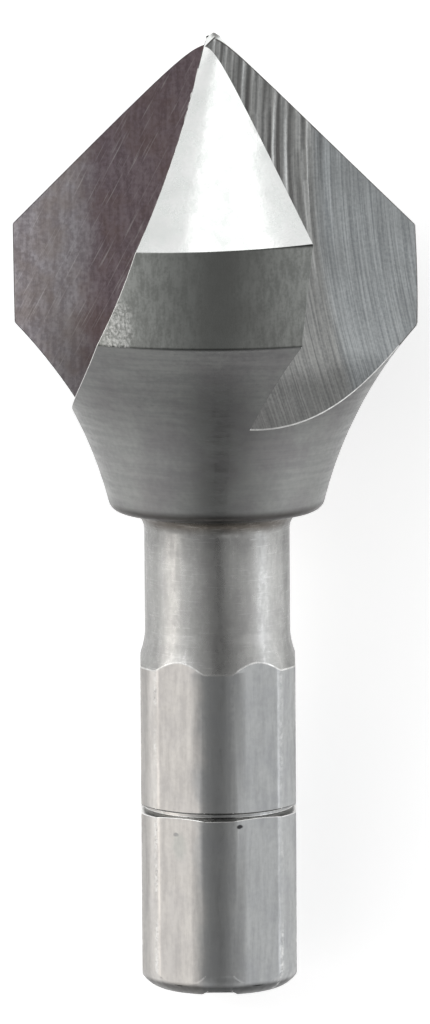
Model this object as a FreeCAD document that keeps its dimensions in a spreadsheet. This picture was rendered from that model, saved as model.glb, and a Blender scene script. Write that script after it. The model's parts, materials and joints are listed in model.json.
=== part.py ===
"""Three-flute countersink bit with a hexagonal shank, in millimetres and degrees.

One bar of tool steel, turned, milled and ground.  It is drawn upright: its axis is Z,
the shank's end is at Z = 0 and the point is up.  Turns about the axis are counted from
the hexagon's front corner, which faces -Y, towards +X.  At the end the bit is laid down
as it rests on a table, point towards +Y, with the origin under the middle of its box.
"""
import FreeCAD, Part
import math
import os
import Sketcher
from FreeCAD import Placement, Rotation, Vector

SIZES = [
    ("apex_height", 39.8, "shank end to the sharp apex of the cone"),
    ("head_diameter", 16.5, "largest diameter, across the lands"),
    ("cone_angle", 90.0, "included angle of the point"),
    ("land_length", 4.15, "straight part of the head"),
    ("flare_radius", 17.5, "hollow curve from the lands down to the rim"),
    ("rim_diameter", 8.66, "lower end of the head"),
    ("rim_round", 0.5, "rounding of that end"),
    ("rim_height", 19.75, "shank end to the underside of the head"),
    ("neck_diameter", 5.96, "round neck between head and shank"),
    ("neck_fillet", 0.8, "fillet between neck and head"),
    ("neck_height", 14.7, "shank end to the start of the neck"),
    ("shank_length", 13.4, "shank end to the shoulder under the neck"),
    ("shank_diameter", 6.75, "round bar that the hexagon is cut from"),
    ("shoulder_radius", 3.0, "hollow curve of the shoulder"),
    ("across_flats", 6.35, "quarter-inch hexagon"),
    ("end_diameter", 5.25, "face at the shank's end"),
    ("end_height", 0.9, "height over which that end is rounded off"),
    ("end_round", 1.2, "radius of the rounding"),
    ("ring_height", 7.5, "shank end to the middle of the ring groove"),
    ("ring_bottom", 6.04, "diameter at the floor of the ring groove"),
    ("ring_floor", 0.16, "width of that floor"),
    ("ring_flare", 32.0, "lean of the ring groove's walls, along their chords"),
    ("ring_lip", 1.9, "radius by which these walls curve out to the mouth"),
    ("flute_count", 3, "number of flutes"),
    ("wheel_radius", 25.0, "grinding wheel that cuts a flute"),
    ("wheel_gap", 0.22, "rim of that wheel short of the axis"),
    ("wheel_drop", 0.96, "centre of the wheel below the apex"),
    ("wheel_slope", 20.7, "slope of the wheel's rim"),
    ("rake_offset", 0.42, "rake face behind the axis at the apex"),
    ("rake_turn", 8.95, "turn of the rake face about the axis"),
    ("rake_lean", 7.3, "lean of the rake face off the axis"),
    ("edge_turn", 29.4, "turn from the front corner to the cutting edge"),
    ("relief_shift", 0.45, "off-centre shift of the relieved cone at the apex"),
    ("relief_lean", 0.4, "lean that closes this shift towards the lands"),
    ("nick_width", 1.4, "nick in the shank's end, across its mouth"),
    ("nick_top", 1.0, "the same across its top"),
    ("nick_rise", 0.2, "height of the nick along the shank"),
    ("nick_depth", 1.2, "depth of the nick from the corner inwards"),
]

CONE_LENGTH = "Sizes.head_diameter / 2 / tan(Sizes.cone_angle / 2)"
LAND_TOP = "(Sizes.apex_height - %s)" % CONE_LENGTH
LAND_BOTTOM = "(%s - Sizes.land_length)" % LAND_TOP
MARGIN = 1.0         # how far a cutting profile runs past the bar
RELIEF_LEAD = 12.0   # how far ahead of the cutting edge the relief starts, degrees

doc = FreeCAD.newDocument("countersink_bit")


def make_sheet():
    """Write the driving dimensions, one row each, and name every value's cell."""
    table = doc.addObject("Spreadsheet::Sheet", "Sizes")
    for row, (name, value, note) in enumerate(SIZES, start=1):
        table.set("A%d" % row, name)
        table.set("B%d" % row, str(value))
        table.set("C%d" % row, note)
        table.setAlias("B%d" % row, name)
    doc.recompute()
    return table


sheet = make_sheet()
body = doc.addObject("PartDesign::Body", "countersink_bit")
body.Label = "countersink_bit"


def size(expression):
    """Value of an expression in the sheet's names."""
    return float(sheet.evalExpression(expression.replace("Sizes.", "")))


def origin_part(role):
    """A plane or axis of the body's own origin."""
    for feature in body.Origin.OriginFeatures:
        if feature.Role == role:
            return feature
    raise ValueError("no origin part " + role)


def new_sketch(name, role, offset=None):
    """An empty sketch on an origin plane, moved from it by an expression where one is given."""
    sketch = body.newObject("Sketcher::SketchObject", name)
    sketch.AttachmentSupport = [(origin_part(role), "")]
    sketch.MapMode = "FlatFace"
    if offset:
        sketch.setExpression("AttachmentOffset", offset)
    return sketch


def drive(sketch, kind, refs, expression):
    """Add a dimension to a sketch and tie it to the sheet."""
    number = sketch.addConstraint(Sketcher.Constraint(kind, *refs, abs(size(expression))))
    sketch.setExpression("Constraints[%d]" % number, expression)


def outline(sketch, corners, hollows=(), rounds=()):
    """Draw a closed outline through corners given as pairs of expressions.

    hollows and rounds map the number of a side to the expression of its radius: that
    side is an arc that curves in or out, and every other side is a straight line.
    """
    hollows, rounds = dict(hollows), dict(rounds)
    points = [Vector(size(across), size(along), 0) for across, along in corners]
    sides = []
    for number, start in enumerate(points):
        end = points[(number + 1) % len(points)]
        if number in hollows:
            sides.append(add_arc(sketch, start, end, size(hollows[number]), True))
        elif number in rounds:
            sides.append(add_arc(sketch, start, end, size(rounds[number]), False))
        else:
            line = sketch.addGeometry(Part.LineSegment(start, end), False)
            sides.append((line, 1, 2))
    for number, (side, first, _) in enumerate(sides):
        before, _, last = sides[number - 1]
        sketch.addConstraint(Sketcher.Constraint("Coincident", before, last, side, first))
    for (side, first, _), (across, along) in zip(sides, corners):
        place_corner(sketch, side, first, across, along)
    for number, radius in {**hollows, **rounds}.items():
        drive(sketch, "Radius", (sides[number][0],), radius)


def add_arc(sketch, start, end, radius, hollow):
    """An arc from start to end of an outline that runs anticlockwise.

    Its centre lies outside the outline where the side is hollow, and inside where not.
    """
    chord = end - start
    outwards = Vector(chord.y, -chord.x, 0).normalize()
    rise = math.sqrt(radius ** 2 - (chord.Length / 2) ** 2)
    centre = (start + end) * 0.5 + outwards * (rise if hollow else -rise)
    ends = (end, start) if hollow else (start, end)
    angles = [math.atan2(point.y - centre.y, point.x - centre.x) for point in ends]
    circle = Part.Circle(centre, Vector(0, 0, 1), radius)
    arc = sketch.addGeometry(Part.ArcOfCircle(circle, *angles), False)
    return (arc, 2, 1) if hollow else (arc, 1, 2)


def place_corner(sketch, side, end, across, along):
    """Dimension a corner from the sketch's axes, or hold it on the axis that it lies on."""
    for kind, distance, axis in (("DistanceX", across, -2), ("DistanceY", along, -1)):
        value = size(distance)
        if abs(value) < 1e-9:
            sketch.addConstraint(Sketcher.Constraint("PointOnObject", side, end, axis))
        elif value > 0:
            drive(sketch, kind, (-1, 1, side, end), distance)
        else:
            drive(sketch, kind, (side, end, -1, 1), "-(%s)" % distance)


def circle_edges(shape, radius, height):
    """Names of the shape's round edges about the axis with a given radius and height."""
    names = []
    for number, edge in enumerate(shape.Edges, start=1):
        if not isinstance(edge.Curve, Part.Circle):
            continue
        same_radius = abs(edge.Curve.Radius - radius) < 1e-4
        if same_radius and abs(edge.Curve.Center.z - height) < 1e-4:
            names.append("Edge%d" % number)
    return names


def fillet(name, base, radius, height, rounding):
    """Round the turned edge that has this radius and height."""
    edges = circle_edges(base.Shape, size(radius), size(height))
    feature = body.newObject("PartDesign::Fillet", name)
    feature.Base = (base, edges)
    feature.setExpression("Radius", rounding)
    return feature


def cut_volume(feature, before):
    """Stop where a cut has removed nothing."""
    doc.recompute()
    if feature.Shape.Volume > before - 1e-6:
        raise ValueError(feature.Name + " cuts nothing")
    return feature.Shape.Volume


def polar_pattern(name, originals, count):
    """Repeat features evenly about the bit's axis."""
    pattern = body.newObject("PartDesign::PolarPattern", name)
    pattern.Originals = originals
    pattern.Axis = (origin_part("Z_Axis"), [""])
    pattern.Angle = 360
    pattern.setExpression("Occurrences", count)
    body.Tip = pattern
    return pattern


def turn_bar():
    """Turned bar: shank with a rounded end, shoulder, neck, hollow flare, land and cone."""
    corners = [
        ("0", "0"),
        ("Sizes.end_diameter / 2", "0"),
        ("Sizes.shank_diameter / 2", "Sizes.end_height"),
        ("Sizes.shank_diameter / 2", "Sizes.shank_length"),
        ("Sizes.neck_diameter / 2", "Sizes.neck_height"),
        ("Sizes.neck_diameter / 2", "Sizes.rim_height"),
        ("Sizes.rim_diameter / 2", "Sizes.rim_height"),
        ("Sizes.head_diameter / 2", LAND_BOTTOM),
        ("Sizes.head_diameter / 2", LAND_TOP),
        ("0", "Sizes.apex_height"),
    ]
    sketch = new_sketch("BarProfile", "YZ_Plane")
    outline(sketch, corners, {3: "Sizes.shoulder_radius", 6: "Sizes.flare_radius"}, {1: "Sizes.end_round"})
    bar = body.newObject("PartDesign::Revolution", "Bar")
    bar.Profile = sketch
    bar.ReferenceAxis = (sketch, ["V_Axis"])
    bar.Angle = 360
    doc.recompute()
    neck = fillet("NeckFillet", bar, "Sizes.neck_diameter / 2", "Sizes.rim_height", "Sizes.neck_fillet")
    doc.recompute()
    return fillet("RimRound", neck, "Sizes.rim_diameter / 2", "Sizes.rim_height", "Sizes.rim_round")


def mill_flats():
    """Six flats, each milled along the shank until it runs out on the shoulder."""
    half = "Sizes.shank_diameter / 2"
    corners = [
        ("Sizes.across_flats / 2", "-%s" % half),
        ("Sizes.shank_diameter / 2 + %s" % MARGIN, "-%s" % half),
        ("Sizes.shank_diameter / 2 + %s" % MARGIN, half),
        ("Sizes.across_flats / 2", half),
    ]
    sketch = new_sketch("FlatProfile", "XY_Plane")
    outline(sketch, corners)
    flat = body.newObject("PartDesign::Pocket", "Flat")
    flat.Profile = sketch
    flat.Reversed = True
    flat.setExpression("Length", "Sizes.neck_height")
    doc.recompute()
    return polar_pattern("Hexagon", [flat], "6")


def turn_ring():
    """Narrow ring groove, a little deeper than the flats, whose walls open to its mouth."""
    outer = "Sizes.shank_diameter / 2 + %s" % MARGIN
    reach = "(Sizes.shank_diameter / 2 + %s - Sizes.ring_bottom / 2)" % MARGIN
    mouth = "(Sizes.ring_floor / 2 + %s * tan(Sizes.ring_flare))" % reach
    corners = [
        ("Sizes.ring_bottom / 2", "Sizes.ring_height - Sizes.ring_floor / 2"),
        (outer, "Sizes.ring_height - %s" % mouth),
        (outer, "Sizes.ring_height + %s" % mouth),
        ("Sizes.ring_bottom / 2", "Sizes.ring_height + Sizes.ring_floor / 2"),
    ]
    sketch = new_sketch("RingProfile", "XZ_Plane")
    outline(sketch, corners, {0: "Sizes.ring_lip", 2: "Sizes.ring_lip"})
    ring = body.newObject("PartDesign::Groove", "RingGroove")
    ring.Profile = sketch
    ring.ReferenceAxis = (sketch, ["V_Axis"])
    ring.Angle = 360
    return ring


def grind_relief():
    """Relief: behind each cutting edge the cone is ground about an axis off centre.

    The sketch stands on that axis, so the edge keeps its full radius and the heel of
    the tooth lies a little inside it.
    """
    shift = "vector(Sizes.relief_shift * cos(Sizes.edge_turn); Sizes.apex_height; " \
            "-Sizes.relief_shift * sin(Sizes.edge_turn))"
    middle = "rotationy(%s - 90 - 180 / Sizes.flute_count)" % RELIEF_LEAD
    turn = "rotationy(Sizes.edge_turn) * rotationz(-Sizes.relief_lean) * " + middle
    reach = "(Sizes.head_diameter / 2 + %s)" % MARGIN
    corners = [
        ("0", "0"),
        (reach, "-%s / tan(Sizes.cone_angle / 2)" % reach),
        (reach, str(MARGIN)),
        ("0", str(MARGIN)),
    ]
    sketch = new_sketch("ReliefProfile", "XZ_Plane", "placement(%s; %s)" % (shift, turn))
    outline(sketch, corners)
    relief = body.newObject("PartDesign::Groove", "Relief")
    relief.Profile = sketch
    relief.ReferenceAxis = (sketch, ["V_Axis"])
    relief.Midplane = True
    relief.setExpression("Angle", "360 / Sizes.flute_count")
    return relief


def grind_flute():
    """Flute: the flat side of a large wheel leaves the rake face, its rim the heel wall."""
    sketch = new_sketch(
        "WheelSide", "XZ_Plane",
        "placement(vector(0; Sizes.apex_height; -Sizes.rake_offset); "
        "rotationy(Sizes.rake_turn) * rotationx(Sizes.rake_lean))")
    centre = Vector(-size("Sizes.wheel_radius + Sizes.wheel_gap"), -size("Sizes.wheel_drop"), 0)
    wheel = sketch.addGeometry(Part.Circle(centre, Vector(0, 0, 1), size("Sizes.wheel_radius")), False)
    drive(sketch, "Radius", (wheel,), "Sizes.wheel_radius")
    drive(sketch, "DistanceX", (wheel, 3, -1, 1), "Sizes.wheel_radius + Sizes.wheel_gap")
    drive(sketch, "DistanceY", (wheel, 3, -1, 1), "Sizes.wheel_drop")
    flute = body.newObject("PartDesign::Pocket", "Flute")
    flute.Profile = sketch
    flute.Reversed = True
    flute.setExpression("Length", "Sizes.head_diameter")
    flute.setExpression("TaperAngle", "-Sizes.wheel_slope")
    return flute


def cut_nick():
    """Small nick across the front corner of the shank's end."""
    corners = [
        ("-Sizes.nick_width / 2", "0"),
        ("Sizes.nick_width / 2", "0"),
        ("Sizes.nick_top / 2", "Sizes.nick_rise"),
        ("-Sizes.nick_top / 2", "Sizes.nick_rise"),
    ]
    inside = "placement(vector(0; 0; Sizes.shank_diameter / 2 - Sizes.nick_depth); rotationy(0))"
    sketch = new_sketch("NickProfile", "XZ_Plane", inside)
    outline(sketch, corners)
    nick = body.newObject("PartDesign::Pocket", "EndNick")
    nick.Profile = sketch
    nick.Reversed = True
    nick.setExpression("Length", "Sizes.nick_depth + %s" % MARGIN)
    return nick


def make_bit():
    """All operations in the order in which the bit is made."""
    bar = turn_bar()
    doc.recompute()
    volume = cut_volume(mill_flats(), bar.Shape.Volume)
    volume = cut_volume(turn_ring(), volume)
    flute = grind_flute()
    volume = cut_volume(flute, volume)
    volume = cut_volume(polar_pattern("Flutes", [flute], "Sizes.flute_count"), volume)
    relief = grind_relief()
    volume = cut_volume(relief, volume)
    volume = cut_volume(polar_pattern("Teeth", [relief], "Sizes.flute_count"), volume)
    cut_volume(cut_nick(), volume)


def front_turn(point):
    """Turn of a point about the axis, from the front corner towards +X, in degrees."""
    return math.degrees(math.atan2(point.x, -point.y))


def lay_down():
    """Lay the bit on a table as it comes to rest.

    The head rests on the two land corners beside the flute opposite the front corner,
    and the shank on its lowest corner, just above the rounded end.
    """
    radius = size("Sizes.head_diameter / 2")
    height = size(LAND_BOTTOM)
    turns = []
    for vertex in body.Shape.Vertexes:
        point = vertex.Point
        on_land = abs(math.hypot(point.x, point.y) - radius) < 1e-3
        if on_land and abs(point.z - height) < 1e-3:
            turns.append(front_turn(point) % 360)
    left = min(turn for turn in turns if turn > 180)
    right = max(turn for turn in turns if turn < 180)
    roll = 180 - (left + right) / 2
    head_drop = radius * math.cos(math.radians((left - right) / 2))
    shank_drop = size("Sizes.shank_diameter / 2")
    pitch = math.degrees(math.atan2(head_drop - shank_drop, height - size("Sizes.end_height")))
    rolled = Rotation(Vector(0, 0, 1), roll)
    laid = Rotation(Vector(1, 0, 0), pitch - 90)
    body.Placement = Placement(Vector(0, 0, 0), laid * rolled)
    box = body.Shape.optimalBoundingBox(False, False)
    body.Placement.Base = Vector(-box.Center.x, -box.Center.y, -box.ZMin)
    print("roll %.3f, pitch %.3f degrees, base %s" % (roll, pitch, body.Placement.Base))


def check_model():
    """Stop before anything is written if an object failed or the solid is not sound."""
    for item in doc.Objects:
        if "Invalid" in item.State or "Error" in item.State:
            raise ValueError("%s failed: %s" % (item.Name, item.State))
    shape = body.Shape
    if shape.isNull() or not shape.isValid() or len(shape.Solids) != 1:
        raise ValueError("the bit is not one valid solid")


make_bit()
lay_down()
doc.recompute()
check_model()
os.makedirs("parts", exist_ok=True)
body.Shape.exportStep(os.path.join("parts", body.Label + ".step"))
print("volume %.1f mm3" % body.Shape.Volume, body.Shape.optimalBoundingBox(False, False))
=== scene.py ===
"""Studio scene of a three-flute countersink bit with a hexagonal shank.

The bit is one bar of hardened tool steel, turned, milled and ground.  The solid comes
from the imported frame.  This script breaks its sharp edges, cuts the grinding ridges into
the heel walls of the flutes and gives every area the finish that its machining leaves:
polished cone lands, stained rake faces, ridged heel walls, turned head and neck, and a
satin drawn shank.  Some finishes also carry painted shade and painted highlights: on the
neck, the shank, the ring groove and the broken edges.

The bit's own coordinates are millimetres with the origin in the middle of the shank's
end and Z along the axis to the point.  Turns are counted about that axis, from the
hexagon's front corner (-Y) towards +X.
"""
from __future__ import annotations

import json
import logging
import math
from dataclasses import dataclass
from enum import Enum

import bmesh
import bpy
import numpy as np
from mathutils import Matrix, Vector

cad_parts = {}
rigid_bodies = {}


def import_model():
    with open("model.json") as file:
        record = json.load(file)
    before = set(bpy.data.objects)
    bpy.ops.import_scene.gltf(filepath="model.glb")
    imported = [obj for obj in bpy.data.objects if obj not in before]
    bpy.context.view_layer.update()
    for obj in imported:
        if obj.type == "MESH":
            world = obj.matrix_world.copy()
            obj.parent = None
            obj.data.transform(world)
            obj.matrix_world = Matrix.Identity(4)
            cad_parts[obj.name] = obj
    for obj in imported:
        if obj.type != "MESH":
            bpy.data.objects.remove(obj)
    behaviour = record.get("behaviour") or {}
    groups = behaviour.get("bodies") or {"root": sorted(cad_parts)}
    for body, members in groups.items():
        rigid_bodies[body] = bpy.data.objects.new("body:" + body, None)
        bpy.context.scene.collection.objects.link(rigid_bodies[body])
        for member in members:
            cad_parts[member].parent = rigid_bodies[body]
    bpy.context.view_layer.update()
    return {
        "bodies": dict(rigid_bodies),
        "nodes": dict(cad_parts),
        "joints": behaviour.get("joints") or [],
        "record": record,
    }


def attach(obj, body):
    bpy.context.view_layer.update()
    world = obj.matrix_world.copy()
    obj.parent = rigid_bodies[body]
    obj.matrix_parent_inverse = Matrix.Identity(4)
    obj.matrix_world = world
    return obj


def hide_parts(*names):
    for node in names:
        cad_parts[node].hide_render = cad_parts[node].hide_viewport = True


log = logging.getLogger("countersink_bit")

Tree = bpy.types.NodeTree
Socket = bpy.types.NodeSocket

MM = 0.001
NODE = "countersink_bit"
PIECE = "dressed_bit"
UP = Vector((0, 0, 1))

# Points nearer than this are one point, and cuts nearer than this to a point go through it.
WELD = 0.002
CUT_WELD = 1e-4
# How near a place lies to the face that it belongs to, in millimetres.
ON_FACE = 0.01
ON_RIM = 0.1
RIM_START = -0.05
ON_BORDER = 0.06
# Cosines of the bends that a flat, a rake face and a heel wall still allow.
FLAT_BEND = 0.9999
RAKE_BEND = 0.99
RIM_BEND = 0.98
# Z parts of a normal: above the first a wall is no longer upright, above the second it is
# the cone's.
TILTED = 0.02
CONE_TILT = 0.5


class Area(Enum):
    """Areas of the bit that differ in how they were machined, and edges that differ in painted
    light.
    """

    CONE_LAND = 0
    STRAIGHT_LAND = 1
    RAKE = 2
    HEEL = 3
    HEAD = 4
    NECK = 5
    SHANK = 6
    RING = 7
    # The last two are broken edges: a light one, painted as a highlight, and a dark one, painted
    # as shade.
    EDGE = 8
    DARK_EDGE = 9


class Run(Enum):
    """Direction in which tool marks run."""

    AROUND = "around the axis"
    ALONG = "along the axis"
    LAY = "along the wheel's path, in the UV map"


def srgb(text: str) -> tuple[float, float, float, float]:
    """Turn an sRGB hex colour to linear values.

    Args:
        text: the colour, such as #c0c0c0.

    Returns:
        Its linear red, green and blue, and an alpha of 1.
    """
    values = [int(text[start:start + 2], 16) / 255 for start in (1, 3, 5)]
    linear = [v / 12.92 if v <= 0.04045 else ((v + 0.055) / 1.055) ** 2.4 for v in values]
    return (*linear, 1.0)


def clamp(value: float) -> float:
    """Keep a value between 0 and 1."""
    return min(max(value, 0.0), 1.0)


def add(tree: Tree, kind: str, settings: dict | None = None,
        links: dict | None = None) -> bpy.types.Node:
    """Add a node with its settings and links.

    Args:
        tree: the node tree.
        kind: the node's type.
        settings: values of its inputs, by name or number, and of its properties.
        links: the sockets that feed its inputs, by name or number.

    Returns:
        The new node.
    """
    node = tree.nodes.new(kind)
    for name, value in (settings or {}).items():
        if isinstance(name, int) or name in node.inputs:
            node.inputs[name].default_value = value
        else:
            setattr(node, name, value)
    for name, socket in (links or {}).items():
        tree.links.new(socket, node.inputs[name])
    return node


@dataclass(frozen=True)
class BitSizes:
    """Sizes of the bit, in millimetres and degrees."""

    apex_height: float = 39.8
    head_diameter: float = 16.5
    land_length: float = 4.15
    rim_height: float = 19.75
    shank_length: float = 13.4
    shank_diameter: float = 6.75
    across_flats: float = 6.35
    flats: int = 6
    flat_turn: float = 30.0
    # Width of a flat that shades as part of its round corner, and the front corner's.
    corner_round: float = 0.22
    front_round: float = 0.65
    # Height of the ring groove, and how far up and down its walls reach.
    ring_height: float = 7.5
    ring_reach: float = 0.3
    # Width of the broken edges, the bend that makes an edge sharp, and the Y beyond which the
    # edges beside the flutes are painted dark as shade.
    edge_width: float = 0.035
    sharp_bend: float = 8.0
    shaded_from: float = -1.6
    # The grinding wheel and its place in the flutes.
    flutes: int = 3
    rake_offset: float = 0.42
    rake_turn: float = 8.95
    rake_lean: float = 7.3
    wheel_radius: float = 25.0
    wheel_gap: float = 0.22
    wheel_drop: float = 0.96
    wheel_slope: float = 20.7

    @property
    def land_top(self) -> float:
        """Height at which the cone meets the straight lands."""
        return self.apex_height - self.head_diameter / 2

    @property
    def land_bottom(self) -> float:
        """Height at which the straight lands end."""
        return self.land_top - self.land_length

    @property
    def flat_half(self) -> float:
        """Half the width of a flat."""
        return math.sqrt(self.shank_diameter ** 2 - self.across_flats ** 2) / 2

    @property
    def corner_turn(self) -> float:
        """Turn from a corner's middle to the border of its flat, in degrees."""
        return self.flat_turn - math.degrees(math.atan(2 * self.flat_half / self.across_flats))

    def flat_directions(self) -> list[Vector]:
        """List the directions in which the flats face.

        Returns:
            One direction for each flat.
        """
        step = 360 / self.flats
        turns = [math.radians(self.flat_turn + step * number) for number in range(self.flats)]
        return [Vector((math.sin(turn), -math.cos(turn), 0)) for turn in turns]


class BitFrame:
    """The bit's own coordinates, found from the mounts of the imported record."""

    def __init__(self, record: dict, sizes: BitSizes) -> None:
        """Read the shank's end and one drive flat.

        Args:
            record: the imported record.
            sizes: the bit's sizes.
        """
        mounts = {mount["name"]: mount for mount in record["mounts"]}
        end = mounts["shank_end"]
        flat = Vector(mounts["drive_flat"]["axis"])
        self.axis = -Vector(end["axis"]).normalized()
        flat = (flat - self.axis * flat.dot(self.axis)).normalized()
        turn = math.radians(sizes.flat_turn)
        beside = self.axis.cross(flat)
        self.front = (flat * math.cos(turn) - beside * math.sin(turn)).normalized()
        self.side = self.axis.cross(self.front)
        self.turned = Matrix((self.side, -self.front, self.axis)).transposed()
        moved = Matrix.Translation(Vector(end["pos_m"]))
        self.to_row = moved @ self.turned.to_4x4() @ Matrix.Scale(MM, 4)
        self.to_bit = self.to_row.inverted()


@dataclass(frozen=True)
class Wheel:
    """Grinding wheel of one flute: its flat side leaves the rake face, its rim the heel wall.

    The wheel's plane, point and directions are in the bit's coordinates.
    """

    point: Vector
    normal: Vector
    across: Vector
    along: Vector
    sizes: BitSizes

    def away(self, place: Vector) -> float:
        """Distance of a place from the rake face."""
        return (place - self.point).dot(self.normal)

    def polar(self, place: Vector) -> tuple[float, float]:
        """Find a place from the wheel's axis.

        Args:
            place: the place.

        Returns:
            Its distance from the wheel's axis, and its turn about that axis.
        """
        reach = self.sizes.wheel_radius + self.sizes.wheel_gap
        across = (place - self.point).dot(self.across) + reach
        along = (place - self.point).dot(self.along) + self.sizes.wheel_drop
        return math.hypot(across, along), math.atan2(along, across)

    def on_rim(self, place: Vector, normal: Vector) -> bool:
        """Tell whether a place lies on the heel wall that the rim leaves.

        Args:
            place: the place.
            normal: the surface's direction there.

        Returns:
            True where both the place and its direction fit the rim.
        """
        away = self.away(place)
        slope = math.tan(math.radians(self.sizes.wheel_slope))
        distance, turn = self.polar(place)
        inwards = -self.across * math.cos(turn) - self.along * math.sin(turn) - self.normal * slope
        near = abs(distance - self.sizes.wheel_radius + away * slope) < ON_RIM
        return away > RIM_START and near and inwards.normalized().dot(normal) > RIM_BEND

    def lay(self, place: Vector) -> Vector:
        """Place along and across the wheel's marks on the heel wall."""
        return Vector((self.sizes.wheel_radius * self.polar(place)[1], self.away(place), 0))

    def side_lay(self, place: Vector) -> Vector:
        """Place along and across the marks that the wheel's flat side leaves."""
        from_point = place - self.point
        return Vector((from_point.dot(self.along), from_point.dot(self.across), 0))


def make_wheels(sizes: BitSizes) -> list[Wheel]:
    """Place the grinding wheel of every flute.

    Args:
        sizes: the bit's sizes.

    Returns:
        One wheel for each flute.
    """
    turned = Matrix.Rotation(math.radians(sizes.rake_turn), 3, "Y")
    turned = turned @ Matrix.Rotation(math.radians(sizes.rake_lean), 3, "X")
    sketch = Matrix(((1, 0, 0), (0, 0, -1), (0, 1, 0)))
    wheels = []
    for number in range(sizes.flutes):
        spin = Matrix.Rotation(2 * math.pi * number / sizes.flutes, 3, "Z")
        basis = spin @ sketch @ turned
        point = spin @ sketch @ Vector((0, sizes.apex_height, -sizes.rake_offset))
        normal, across, along = basis.col[2].copy(), basis.col[0].copy(), basis.col[1].copy()
        wheels.append(Wheel(point, normal, across, along, sizes))
    return wheels


@dataclass(frozen=True)
class Fade:
    """Slow change of tone over a surface, in millimetres.

    The tone multiplies the finish's colours from end on, and leaves them alone before
    start.  The axis is one of the bit's own, or of the lay map's where lay is true.
    """

    axis: str
    start: float
    end: float
    tone: str
    lay: bool = False
    waver: float = 1.0


@dataclass(frozen=True)
class Blot:
    """Irregular spot in the bit's own millimetres: wear, a stain, a painted highlight, painted
    shade.
    """

    place: tuple[float, float, float]
    reach: tuple[float, float, float]
    tone: str
    share: float = 1.0
    speckled: bool = False
    # Distance at which the spot starts to end and has ended, with the noise added.
    solid: float = 1.1
    ended: float = 1.5


@dataclass(frozen=True)
class Scratches:
    """Sparse light scratches, turned off the tool marks by a number of degrees."""

    turn: float
    spacing: float
    length: float
    sparse: float
    tone: str
    share: float
    softness: float = 0.12


@dataclass(frozen=True)
class Spots:
    """Small spots of one colour, where a noise of a size in millimetres is high."""

    colour: str
    size: float
    start: float
    full: float


@dataclass(frozen=True)
class CornerWear:
    """Burnished and nicked borders between the hexagon's flats and its round corners.

    It comes in stretches along the bar, and is weak at the front corner.  Turns are degrees
    from a corner's middle, lengths are millimetres.
    """

    turn: float
    width: float
    share: float
    spots: tuple[Spots, ...]
    half_sector: float = 30.0
    stretch: float = 1.8
    stretch_start: float = 0.42
    stretch_full: float = 0.6
    least: float = 0.1
    front_end: float = 1.0
    outer_start: float = 1.8
    front_share: float = 0.2


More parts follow.
